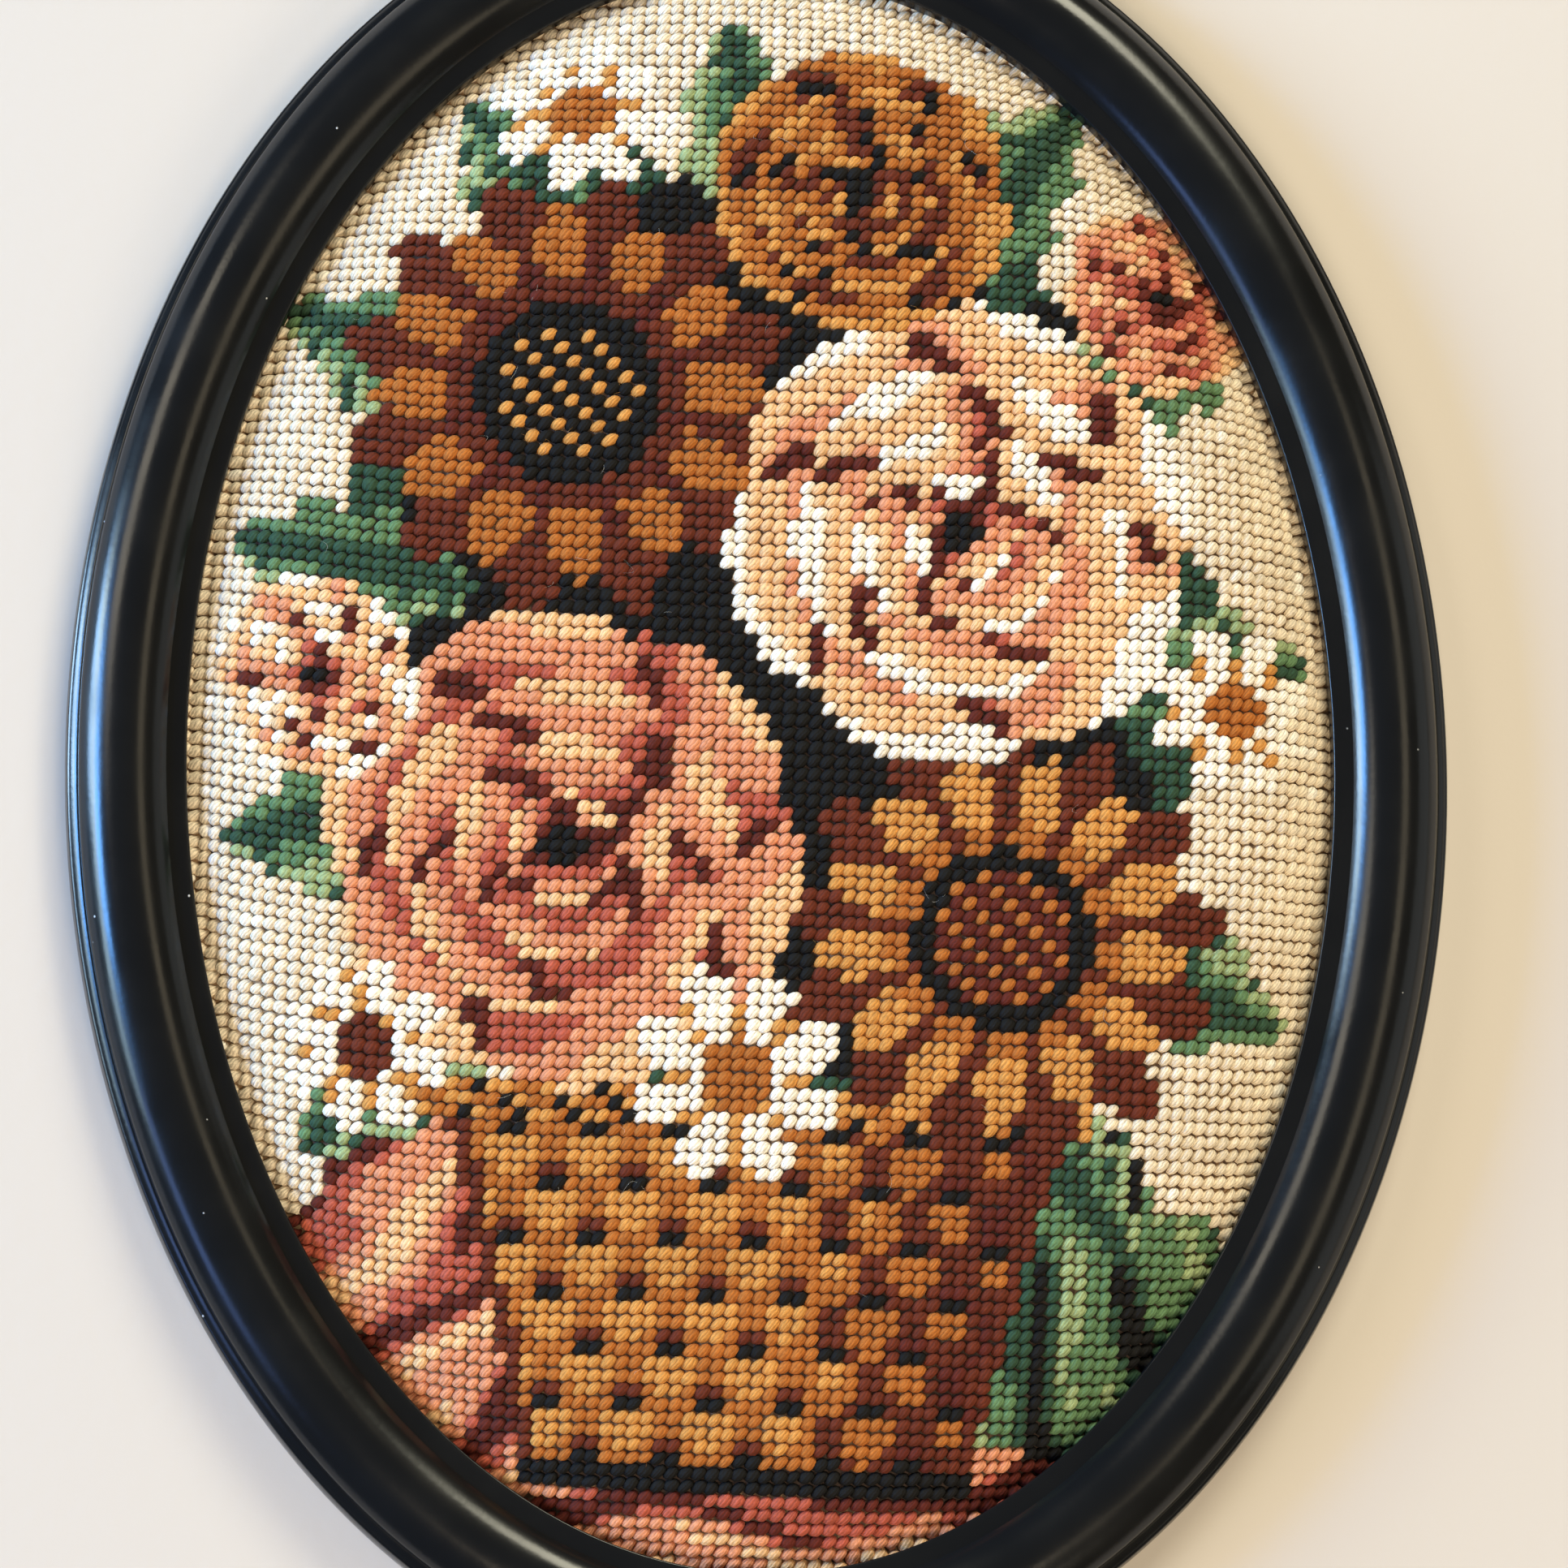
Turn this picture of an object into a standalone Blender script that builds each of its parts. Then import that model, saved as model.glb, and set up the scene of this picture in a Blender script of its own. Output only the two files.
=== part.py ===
"""Needlepoint canvas panel in an oval frame, lying face up.

+Z is the worked face and +Y is the top of the picture. The origin is the centre of the back plane.
The moulding is an oval ring with a rabbet cut from its back. The worked canvas is stretched into a low,
slightly uneven dome, with its flat margin under the moulding's lip. A plain board closes the rabbet.
"""

import math

import bmesh
import bpy

# Driving dimensions, metres.
FRAME_WIDTH = 0.266
FRAME_HEIGHT = 0.358
MOULDING_WIDTH = 0.0232
PIECE_GAP = 0.0003

BACK_CHAMFER = 0.0008
WIDEST_LEVEL = 0.0035
ARCH_FOOT_LEVEL = 0.0107
ARCH_START = 0.0027
ARCH_END = 0.0201
ARCH_RISE = 0.0046
ARCH_STEPS = 9

LIP_THICKNESS = 0.0024
RABBET_DEPTH = 0.0076
RABBET_OVERLAP = 0.0058

CANVAS_THICKNESS = 0.002
MARGIN_UNDER_LIP = 0.0009
RIM_RISE = 0.011
RIM_SOFTNESS = 0.012
CROWN_RISE = 0.0015
RIPPLE = 0.00035
RIPPLE_REACH = 0.030

BOARD_THICKNESS = 0.003

OVAL_STEPS = 72

HALF_WIDTH = FRAME_WIDTH / 2
HALF_HEIGHT = FRAME_HEIGHT / 2
CANVAS_TOP = RABBET_DEPTH - PIECE_GAP
CANVAS_INSET = MOULDING_WIDTH - RABBET_OVERLAP + PIECE_GAP
BOARD_TOP = CANVAS_TOP - CANVAS_THICKNESS - PIECE_GAP
DOME_HALF_WIDTH = HALF_WIDTH - MOULDING_WIDTH - MARGIN_UNDER_LIP
DOME_HALF_HEIGHT = HALF_HEIGHT - MOULDING_WIDTH - MARGIN_UNDER_LIP

# The outer band of the moulding, from its widest line up to the quirk where the arch starts.
OUTER_BAND = [
    {"inset": 0.00035, "level": 0.0070},
    {"inset": 0.00085, "level": 0.0091},
    {"inset": 0.0014, "level": 0.0103},
    {"inset": 0.0022, "level": 0.0109},
    {"inset": 0.0025, "level": 0.0104},
]

# The small ledge inside the arch, from the inner quirk to the top of the sight edge.
INNER_LEDGE = [
    {"inset": 0.0203, "level": 0.0102},
    {"inset": 0.0221, "level": 0.0101},
    {"inset": 0.0228, "level": 0.0097},
]

# Distances from the foot of the dome, along its half width, at which the canvas has a ring of points.
DOME_RINGS = [0.0, 0.0015, 0.0035, 0.006, 0.009, 0.013, 0.018, 0.025, 0.035, 0.050, 0.070, 0.090]

# Ripples round the rim, where the canvas pulls unevenly: how many go round, where they start, their share.
RIM_RIPPLES = [
    {"turns": 5, "start": 0.4, "share": 0.5},
    {"turns": 9, "start": 2.1, "share": 0.3},
    {"turns": 16, "start": 1.3, "share": 0.2},
]


def clear_scene():
    for item in list(bpy.data.objects):
        bpy.data.objects.remove(item, do_unlink=True)


def painted(name, colour, roughness):
    material = bpy.data.materials.new(name)
    material.use_nodes = True
    shader = material.node_tree.nodes["Principled BSDF"]
    shader.inputs["Base Color"].default_value = (*colour, 1.0)
    shader.inputs["Roughness"].default_value = roughness
    shader.inputs["Metallic"].default_value = 0.0
    material.diffuse_color = (*colour, 1.0)
    return material


def angles():
    return [2 * math.pi * step / OVAL_STEPS for step in range(OVAL_STEPS)]


def inset_ring(mesh, inset, level):
    """A level ring of points, inset from the frame's outline by the same distance all round."""
    ring = []
    for angle in angles():
        across = math.cos(angle)
        along = math.sin(angle)
        length = math.hypot(HALF_HEIGHT * across, HALF_WIDTH * along)
        x = HALF_WIDTH * across - inset * HALF_HEIGHT * across / length
        y = HALF_HEIGHT * along - inset * HALF_WIDTH * along / length
        ring.append(mesh.verts.new((x, y, level)))
    return ring


def dome_ring(mesh, distance):
    """A ring of points on the dome, each at its own height."""
    share = 1 - distance / DOME_HALF_WIDTH
    ring = []
    for angle in angles():
        x = DOME_HALF_WIDTH * share * math.cos(angle)
        y = DOME_HALF_HEIGHT * share * math.sin(angle)
        ring.append(mesh.verts.new((x, y, CANVAS_TOP + dome_rise(share, angle))))
    return ring


def dome_rise(share, angle):
    """How far the canvas stands above its margin, at this share of the way from the middle to the foot."""
    distance = (1 - share) * DOME_HALF_WIDTH
    full = 1 - math.exp(-DOME_HALF_WIDTH / RIM_SOFTNESS)
    rim = RIM_RISE * (1 - math.exp(-distance / RIM_SOFTNESS)) / full
    crown = CROWN_RISE * (1 - share**2)
    wave = sum(row["share"] * math.sin(row["turns"] * angle + row["start"]) for row in RIM_RIPPLES)
    near_rim = math.sin(math.pi * min(distance / RIPPLE_REACH, 1.0))
    return rim + crown + RIPPLE * wave * near_rim


def skin(mesh, first, second):
    """Faces between two rings that hold the same number of points."""
    for here in range(OVAL_STEPS):
        after = (here + 1) % OVAL_STEPS
        mesh.faces.new((first[here], first[after], second[after], second[here]))


def finish(name, mesh, material, smooth_angle):
    bmesh.ops.recalc_face_normals(mesh, faces=mesh.faces)
    data = bpy.data.meshes.new(name)
    mesh.to_mesh(data)
    mesh.free()
    data.shade_smooth()
    data.set_sharp_from_angle(angle=math.radians(smooth_angle))
    data.materials.append(material)
    item = bpy.data.objects.new(name, data)
    bpy.context.scene.collection.objects.link(item)
    return item


def arch_profile():
    """The broad face of the moulding, one arc of a circle."""
    half = (ARCH_END - ARCH_START) / 2
    radius = (half**2 + ARCH_RISE**2) / (2 * ARCH_RISE)
    spread = math.asin(half / radius)
    rows = []
    for step in range(ARCH_STEPS + 1):
        turn = spread * (2 * step / ARCH_STEPS - 1)
        inset = ARCH_START + half + radius * math.sin(turn)
        level = ARCH_FOOT_LEVEL + ARCH_RISE - radius * (1 - math.cos(turn))
        rows.append({"inset": inset, "level": level})
    return rows


def moulding_profile():
    """The closed section of the moulding, from its back edge up over the face and down the rabbet."""
    back = [
        {"inset": BACK_CHAMFER, "level": 0.0},
        {"inset": 0.0, "level": BACK_CHAMFER},
        {"inset": 0.0, "level": WIDEST_LEVEL},
    ]
    sight_and_rabbet = [
        {"inset": MOULDING_WIDTH, "level": RABBET_DEPTH + LIP_THICKNESS / 2},
        {"inset": MOULDING_WIDTH, "level": RABBET_DEPTH},
        {"inset": MOULDING_WIDTH - RABBET_OVERLAP, "level": RABBET_DEPTH},
        {"inset": MOULDING_WIDTH - RABBET_OVERLAP, "level": 0.0},
    ]
    return back + OUTER_BAND + arch_profile() + INNER_LEDGE + sight_and_rabbet


def make_frame_moulding():
    mesh = bmesh.new()
    rings = [inset_ring(mesh, row["inset"], row["level"]) for row in moulding_profile()]
    for first, second in zip(rings, rings[1:] + rings[:1]):
        skin(mesh, first, second)
    black = painted("satin_black_paint", (0.012, 0.012, 0.014), 0.3)
    return finish("frame_moulding", mesh, black, 35)


def make_needlepoint_canvas():
    mesh = bmesh.new()
    rings = [inset_ring(mesh, CANVAS_INSET, CANVAS_TOP)]
    rings += [dome_ring(mesh, distance) for distance in DOME_RINGS]
    for first, second in zip(rings, rings[1:]):
        skin(mesh, first, second)
    middle = mesh.verts.new((0.0, 0.0, CANVAS_TOP + dome_rise(0.0, 0.0)))
    last = rings[-1]
    for here in range(OVAL_STEPS):
        mesh.faces.new((last[here], last[(here + 1) % OVAL_STEPS], middle))
    wool = painted("cream_wool", (0.75, 0.64, 0.46), 0.95)
    canvas = finish("needlepoint_canvas", mesh, wool, 60)
    thickness = canvas.modifiers.new("thickness", "SOLIDIFY")
    thickness.thickness = CANVAS_THICKNESS
    thickness.offset = -1.0
    return canvas


def make_backing_board():
    mesh = bmesh.new()
    top = inset_ring(mesh, CANVAS_INSET, BOARD_TOP)
    bottom = inset_ring(mesh, CANVAS_INSET, BOARD_TOP - BOARD_THICKNESS)
    skin(mesh, top, bottom)
    mesh.faces.new(top)
    mesh.faces.new(bottom)
    board = painted("grey_brown_board", (0.24, 0.17, 0.11), 0.85)
    return finish("backing_board", mesh, board, 35)


def main():
    clear_scene()
    make_frame_moulding()
    make_needlepoint_canvas()
    make_backing_board()


main()
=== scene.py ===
"""Needlepoint canvas panel in an oval frame: moulding, stretched canvas, wool stitches, board and stage.

The panel lies on its back. +Z comes out of the worked face and +Y is the top of the picture.
"""

import math

import bpy
import numpy as np
from bpy.props import FloatProperty, FloatVectorProperty, IntProperty, PointerProperty
from mathutils import Matrix, Vector


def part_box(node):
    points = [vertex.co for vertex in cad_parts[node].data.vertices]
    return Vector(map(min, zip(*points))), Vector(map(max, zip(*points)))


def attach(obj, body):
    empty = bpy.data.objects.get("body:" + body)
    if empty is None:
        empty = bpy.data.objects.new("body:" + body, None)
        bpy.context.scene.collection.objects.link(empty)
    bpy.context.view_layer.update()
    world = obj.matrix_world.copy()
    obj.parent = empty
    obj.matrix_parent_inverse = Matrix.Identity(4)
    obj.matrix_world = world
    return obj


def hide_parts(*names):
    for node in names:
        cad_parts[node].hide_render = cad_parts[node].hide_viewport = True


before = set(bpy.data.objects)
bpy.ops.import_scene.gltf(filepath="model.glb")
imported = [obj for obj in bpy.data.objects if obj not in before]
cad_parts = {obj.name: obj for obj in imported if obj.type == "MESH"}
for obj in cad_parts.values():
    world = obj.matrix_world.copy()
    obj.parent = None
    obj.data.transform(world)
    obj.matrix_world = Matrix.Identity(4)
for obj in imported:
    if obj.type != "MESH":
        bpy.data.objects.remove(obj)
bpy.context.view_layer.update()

bl_info = {
    "name": "Oval Needlepoint Panel",
    "version": (1, 0, 0),
    "blender": (4, 5, 0),
    "location": "3D View > Sidebar > Needlepoint",
    "description": "Builds a worked needlepoint canvas in an oval moulding, stitch by stitch",
    "category": "Object",
}


def table(keys, *lines):
    """One dictionary for each line of values. The keys are given once, in one string."""
    return tuple(dict(zip(keys.split(), line)) for line in lines)


MOULDING_LOW, MOULDING_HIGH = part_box("frame_moulding")
FRAME_WIDTH = MOULDING_HIGH[0] - MOULDING_LOW[0]
FRAME_HEIGHT = MOULDING_HIGH[1] - MOULDING_LOW[1]

# The moulding's section, from the back ring round the outside, over the face and back through the rabbet.
# A row is where one stretch ends: how far in from the outline, how high, and how far it bulges on the way.
SECTION_START = {"inset": 0.0008, "level": 0.0}
SECTION = table(
    "stretch inset level bulge steps",
    ("back edge", 0.0000, 0.0008, 0.00023, 4),
    ("side", 0.0000, 0.0035, 0.0, 2),
    ("outer band", 0.0005, 0.0079, 0.00020, 6),
    ("shoulder", 0.00095, 0.00845, 0.00010, 5),
    ("outer bead", 0.00262, 0.00962, 0.00010, 8),
    ("outer quirk", 0.0029, 0.0098, -0.00008, 4),
    ("riser", 0.0030, 0.01093, 0.00003, 3),
    ("arch", 0.01944, 0.01161, 0.004044, 32),
    ("ledge", 0.0229, 0.0113, 0.0, 3),
    ("nose", 0.0232, 0.0110, 0.00006, 5),
    ("lip", 0.0232, 0.0076, 0.0, 2),
    ("rabbet ceiling", 0.0174, 0.0076, 0.0, 2),
    ("rabbet wall", 0.0174, 0.0, 0.0, 2),
)

SECTION_MERGE = 0.000001
SMOOTH_ANGLE = math.radians(35)

# The dome into which the canvas is stretched, and the ripples round its rim.
CANVAS_TOP = 0.0073
DOME_HALF_WIDTH = 0.1089
DOME_HALF_HEIGHT = 0.1549
RIM_RISE = 0.011
RIM_SOFTNESS = 0.012
CROWN_RISE = 0.0015
RIPPLE = 0.00035
RIPPLE_REACH = 0.030
RIM_RIPPLES = table(
    "turns start share",
    (5, 0.4, 0.5),
    (9, 2.1, 0.3),
    (16, 1.3, 0.2),
)

# Wool colours in daylight, and how much of a bloom their loose fibres give.
YARNS = table(
    "name colour bloom",
    ("ivory", (228, 211, 185), 0.30),
    ("white", (243, 234, 219), 0.30),
    ("peach", (230, 184, 134), 0.30),
    ("salmon", (216, 142, 104), 0.28),
    ("rose", (176, 84, 64), 0.22),
    ("maroon", (88, 29, 17), 0.10),
    ("rust", (98, 38, 17), 0.10),
    ("black", (11, 9, 8), 0.02),
    ("ochre", (172, 99, 37), 0.20),
    ("gold", (202, 139, 68), 0.22),
    ("dark_green", (44, 72, 52), 0.12),
    ("mid_green", (92, 124, 84), 0.18),
    ("pale_green", (150, 166, 118), 0.22),
)
YARN_NAMES = [row["name"] for row in YARNS]

WARM_PETALS = ("white", "peach", "salmon", "rose", "maroon")
DEEP_PETALS = ("peach", "salmon", "rose", "maroon", "maroon")
TAWNY_PETALS = ("gold", "ochre", "rust", "rust", "black")
LEAF_GREENS = ("pale_green", "mid_green", "dark_green")
GREEN_FOLDS = ("pale_green", "mid_green", "mid_green", "dark_green", "black")
ROSY_FOLDS = ("peach", "salmon", "salmon", "rose", "maroon")
WICKER = ("gold", "ochre", "rust", "maroon", "black")

# The picture, a basket of flowers, painted in this order. Places and sizes are in metres on the flat canvas.
SHADES = table(
    "x y across along lobes yarn",
    (0.000, -0.120, 0.086, 0.054, 9, "maroon"),
    (0.000, 0.026, 0.080, 0.098, 13, "dark_green"),
    (0.000, 0.022, 0.073, 0.090, 11, "black"),
)
FOLDS = table(
    "x y turn across along lobes fold shades",
    (-0.056, -0.112, 62, 0.046, 0.036, 7, 0.026, ROSY_FOLDS),
    (0.058, -0.110, 118, 0.046, 0.034, 7, 0.024, GREEN_FOLDS),
    (0.000, -0.150, 8, 0.062, 0.020, 6, 0.020, ROSY_FOLDS),
)
LEAVES = table(
    "x y turn length width bend",
    (-0.046, 0.060, 158, 0.056, 0.030, 0.15),
    (-0.036, 0.082, 122, 0.052, 0.028, -0.15),
    (-0.004, 0.098, 98, 0.048, 0.026, 0.10),
    (0.034, 0.090, 60, 0.052, 0.028, 0.15),
    (0.052, 0.062, 32, 0.054, 0.030, 0.15),
    (0.058, 0.016, 6, 0.050, 0.028, -0.15),
    (0.056, -0.030, -24, 0.052, 0.028, -0.15),
    (0.040, -0.058, -50, 0.052, 0.026, 0.12),
    (-0.056, 0.026, 174, 0.050, 0.028, 0.10),
    (-0.056, -0.014, 196, 0.050, 0.028, 0.10),
    (-0.046, -0.044, 226, 0.056, 0.028, -0.10),
)
BASKETS = (
    {"x": 0.000, "foot": -0.136, "top": -0.074, "foot_half": 0.042, "top_half": 0.058, "rim": 0.009,
     "column": 0.01524, "level": 0.01016},
)
SUNFLOWERS = table(
    "x y turn size petals front back disc",
    (0.046, -0.036, 8, 0.043, 13, ("gold", "ochre", "rust"), ("rust", "maroon", "black"),
     ("black", "maroon", "ochre")),
    (-0.040, 0.066, 20, 0.045, 12, ("ochre", "rust", "maroon"), ("rust", "rust", "black"),
     ("black", "black", "gold")),
)
ROSES = table(
    "x y turn size shades",
    (0.036, 0.042, 20, 0.046, WARM_PETALS),
    (-0.038, -0.022, -15, 0.046, DEEP_PETALS),
    (0.016, 0.110, 35, 0.030, TAWNY_PETALS),
    (0.076, 0.092, 20, 0.020, DEEP_PETALS),
    (-0.086, 0.006, 50, 0.020, WARM_PETALS),
)
DAISIES = table(
    "x y turn size petals heart",
    (-0.004, -0.064, 0, 0.021, 8, "ochre"),
    (0.090, 0.010, 0, 0.017, 8, "ochre"),
    (-0.074, -0.062, 10, 0.017, 8, "rust"),
    (-0.040, 0.124, 10, 0.018, 8, "ochre"),
)
ROSE_RINGS = table(
    "reach petals start size",
    (1.00, 6, 0.0, 0.44),
    (0.72, 5, 0.5, 0.36),
    (0.46, 4, 0.2, 0.26),
    (0.24, 3, 0.6, 0.17),
)

# Rings of smaller petals than this are left out of a rose. Its dark heart is this share of its size.
SMALLEST_PETAL = 0.0045
ROSE_HEART = 0.09

# Ragged edges of patches: how deep their coarse and fine lobes are, and how many fine ones to a coarse one.
SHADE_LOBES = (0.07, 0.05)
FOLDS_LOBES = (0.08, 0.06)
FINE_LOBES = 1.7

# Waves that bend the folds of draped cloth. They turn in radians to the metre, along and across the folds.
FOLD_BENDS = table(
    "strength along across",
    (1.3, 55, 0),
    (0.6, 170, 90),
)
# The middle shade of the cloth, how much its folds change it, and the finer creases between them.
FOLD_MIDDLE = 0.5
FOLD_DEPTH = 0.38
CREASE_DEPTH = 0.16
CREASES_TO_A_FOLD = 2.3
CREASE_DRIFT = 80

# The bare canvas under the stitches: its rings and steps, and how its rings crowd toward the edge. The length
# of the cloth along the dome is measured in steps of its own.
CANVAS_RINGS = 60
CANVAS_STEPS = 216
RING_CROWDING = 1.6
DOME_STEPS = 600

# One stitch. Shares of the mesh: where its two ends are in the cell, and the way in which its ends are cut.
# Its rings stand at shares of its length, and its section is to the side and up.
STITCH_FOOT = (0.04, -0.02)
STITCH_HEAD = (0.96, 1.02)
STITCH_CUT = (0.90, -0.44)
STITCH_RINGS = (0.05, 0.20, 0.40, 0.60, 0.80, 0.95)
STITCH_SECTION = ((1.0, 0.0), (0.81, 0.62), (0.31, 0.97), (-0.31, 0.97), (-0.81, 0.62), (-1.0, 0.0))

# How many stitches one piece may have, and the columns and rows that are tried past the foot of the dome.
MOST_STITCHES = 2200
SPARE_COLUMNS = 5
SPARE_ROWS = 6

# How full a stitch is along its length: a little fuller at its foot, squarer than an oval, with rounded ends.
FULLEST = 0.90
SQUARENESS = 2.6
ROUNDNESS = 0.5
DIVE_POWER = 4

# How much of the unevenness goes to the ends of a stitch, to the way it is cut and to its height.
UNEVEN_ENDS = 0.55
UNEVEN_CUT = 0.6
UNEVEN_HEIGHT = 0.8

# The wool's tone changes from one run of stitches to the next, and a little from stitch to stitch.
CHANCE_SEED = 7
RUN_OF_WOOL = 14
MOST_RUNS = (400, 400)
RUN_TONE = 0.026
STITCH_TONE = 0.035

# The ground, and the share of its stitches that are worked in another yarn.
GROUND = "ivory"
STRAY = "white"
STRAY_SHARE = 0.03

# The sides of a stitch get painted shade, darker than its crest: a power of the wool's colour, and a tint.
SIDE_SHADE_POWER = 1.35
SIDE_SHADE_TINT = (0.94, 0.87, 0.80)

# How long and wide a stitch is on its own pattern of plies, and how far apart the places on it may be.
PLIES_LENGTH = 1.3
PLIES_SPREAD = 40.0

# Loose fibres that stand off the wool, and hairs of lint that have settled on it. Lengths are counted in
# threads, and the roots lie a little below the dome.
HAIR_SECTION = ((0.9, -0.5), (0.0, 1.0), (-0.9, -0.5))
HAIR_ROOT = -0.00018
HAIR_SWERVE = 1.3
# Loose fibres are painted a little lighter than their wool, a painted highlight.
FUZZ_HIGHLIGHT_TONE = 1.08
FUZZ_SHARE = 0.7
FUZZ = {"length": (0.25, 0.8), "bend": 0.25, "rise": (0.00005, 0.00028), "thick": 0.000011,
        "steps": (0.0, 0.35, 0.7, 1.0)}
FUZZ_PLACES = (0.15, 0.85)
LINT_HAIRS = 90
LINT_REACH = 0.9
LINT = {"length": (0.4, 2.2), "bend": 0.35, "rise": (0.0001, 0.0004), "thick": 0.000014,
        "steps": tuple(step / 10 for step in range(11))}
LINT_COLOUR = (206, 200, 190)

# How the canvas was strained on its board: turned clockwise, and dragged up left of this many threads.
MESH_TURN = 0.030
DRAG_START = 15
DRAG = 0.0036

# Slow waves in the rows of stitches, to the side and upwards, with their turn in radians to the thread.
WAVES_ASIDE = table(
    "strength x y start",
    (1.0, 0.0, 0.11, 0.8),
    (0.6, 0.07, 0.23, 0.0),
    (0.5, 0.31, -0.19, 0.0),
)
WAVES_AHEAD = table(
    "strength x y start",
    (1.0, 0.09, 0.0, 2.0),
    (0.6, 0.21, -0.05, 1.0),
    (0.5, 0.17, 0.27, 0.0),
)
STRONGEST_WAVE = 2.1

# The lights all point at the middle of the panel, from the same distance: which way round from the right, and
# how steep. Sizes are across and up, powers in watts.
LIGHT_DISTANCE = 1.9
LIGHTS = table(
    "name turn steep size power colour",
    ("window_low", 166, 11, (0.42, 0.26), 16.0, (0.33, 0.61, 1.0)),
    ("window_middle", 166, 19, (0.42, 0.28), 13.0, (0.71, 0.93, 1.0)),
    ("window_top", 172, 28, (0.50, 0.34), 34.0, (0.14, 0.42, 1.0)),
    ("window_near", 181, 19, (0.60, 0.28), 9.0, (0.60, 0.86, 1.0)),
    ("window_edge", 200, 27, (0.60, 0.34), 4.5, (0.25, 0.42, 1.0)),
    ("left_wall", 148, 44, (0.7, 0.5), 7.0, (1.0, 0.90, 0.72)),
    ("top_wall", 70, 38, (0.9, 0.6), 33.0, (1.0, 0.96, 0.74)),
    ("near_wall", 288, 32, (0.9, 0.6), 18.0, (1.0, 0.88, 0.66)),
    ("room_lamp", 278, 60, (0.9, 0.6), 18.0, (1.0, 0.84, 0.60)),
    ("right_wall", 0, 16, (1.8, 0.9), 3.6, (0.92, 0.98, 1.0)),
    ("tall_lamp", 4, 59, (1.3, 0.4), 4.2, (1.0, 0.84, 0.58)),
)


def srgb(colour):
    """Linear values of a colour given in 0 to 255."""
    shares = [part / 255 for part in colour]
    return tuple(s / 12.92 if s <= 0.04045 else ((s + 0.055) / 1.055) ** 2.4 for s in shares)


def length(name, description, default):
    return FloatProperty(name=name, description=description, default=default, unit="LENGTH",
                         subtype="DISTANCE", precision=5)


def share(name, description, default):
    return FloatProperty(name=name, description=description, default=default, min=0.0, subtype="FACTOR")


def colour(name, description, default):
    return FloatVectorProperty(name=name, description=description, default=default, subtype="COLOR",
                               size=3, min=0.0, max=1.0)


def yarn_colour(row):
    plain = row["name"].replace("_", " ")
    return colour(plain.capitalize(), f"Colour of the {plain} wool", srgb(row["colour"]))


class MouldingSettings(bpy.types.PropertyGroup):
    width: length("Width", "Outer width of the oval", FRAME_WIDTH)
    height: length("Height", "Outer height of the oval", FRAME_HEIGHT)
    steps: IntProperty(name="Steps", description="Faces round each quarter of the oval", default=64, min=8)
    paint: colour("Paint", "Colour of the satin paint", (0.0058, 0.0060, 0.0064))
    roughness: share("Roughness", "How matt the paint is", 0.20)
    dust: colour("Dust", "Colour of the specks of dust", (0.42, 0.43, 0.44))


class CanvasSettings(bpy.types.PropertyGroup):
    mesh: length("Mesh", "Distance from thread to thread", 0.00254)
    thickness: length("Thickness", "Thickness of the bare canvas", 0.0009)
    depth: length("Depth", "How far the bare canvas lies below the tops of the stitches", 0.0011)
    margin: length("Margin", "Flat margin outside the foot of the dome", 0.0055)
    thread: colour("Thread", "Colour of the cotton canvas", srgb((150, 120, 88)))
    # Painted shade deep in the holes between the threads.
    hole_shade: colour("Hole", "Colour deep in the holes between the threads", srgb((74, 52, 36)))
    dyed: colour("Dyed", "What the canvas is dyed to under the dark wools", srgb((46, 30, 22)))


class StitchSettings(bpy.types.PropertyGroup):
    width: share("Width", "Widest part of a stitch, as a share of the mesh", 0.98)
    height: length("Height", "How far a stitch stands up from the bare canvas", 0.00125)
    dive: length("Dive", "How far its ends go down into the holes", 0.0006)
    unevenness: share("Unevenness", "How much the stitches differ from each other", 0.075)
    drift: share("Drift", "How far the rows wander, as a share of the mesh", 0.10)
    under_lip: length("Under lip", "How far the worked area goes past the foot of the dome", 0.0022)


class WoolSettings(bpy.types.PropertyGroup):
    """One colour for each wool."""

    __annotations__ = {row["name"]: yarn_colour(row) for row in YARNS}


class BoardSettings(bpy.types.PropertyGroup):
    colour: colour("Board", "Colour of the pressed board", srgb((134, 110, 84)))


class StageSettings(bpy.types.PropertyGroup):
    floor: colour("Floor", "Colour of the floor", (0.495, 0.445, 0.40))
    camera_distance: length("Camera distance", "From the camera to the middle of the panel", 0.97)
    lens: FloatProperty(name="Lens", description="Focal length in millimetres", default=116.6)
    below: FloatProperty(name="Below", description="How far below the face's normal the camera is",
                         default=math.radians(10.7), subtype="ANGLE")
    left: FloatProperty(name="Left", description="How far left of the face's normal the camera is",
                        default=math.radians(4.23), subtype="ANGLE")
    roll: FloatProperty(name="Roll", description="How far the camera is turned clockwise",
                        default=math.radians(0.15), subtype="ANGLE")
    aim_x: length("Aim right", "Where the camera points, right of the middle", 0.00373)
    aim_y: length("Aim up", "Where the camera points, above the middle", -0.00667)
    brightness: share("Brightness", "All the lights together", 1.0)
    room: colour("Room", "Colour of the light from all sides", (0.008, 0.0075, 0.007))


def lay_aside_selection():
    """Every operator works on what is selected, so nothing is when a piece is begun."""
    if bpy.context.object and bpy.context.object.mode != "OBJECT":
        bpy.ops.object.mode_set(mode="OBJECT")
    bpy.ops.object.select_all(action="DESELECT")


def add_node(tree, kind, settings=None, inputs=None):
    """A shader node with its settings, whose inputs are values or the sockets that feed them."""
    item = tree.nodes.new(kind)
    for key, value in (settings or {}).items():
        setattr(item, key, value)
    for key, value in (inputs or {}).items():
        if isinstance(value, bpy.types.NodeSocket):
            tree.links.new(value, item.inputs[key])
        else:
            item.inputs[key].default_value = value
    return item


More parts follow.
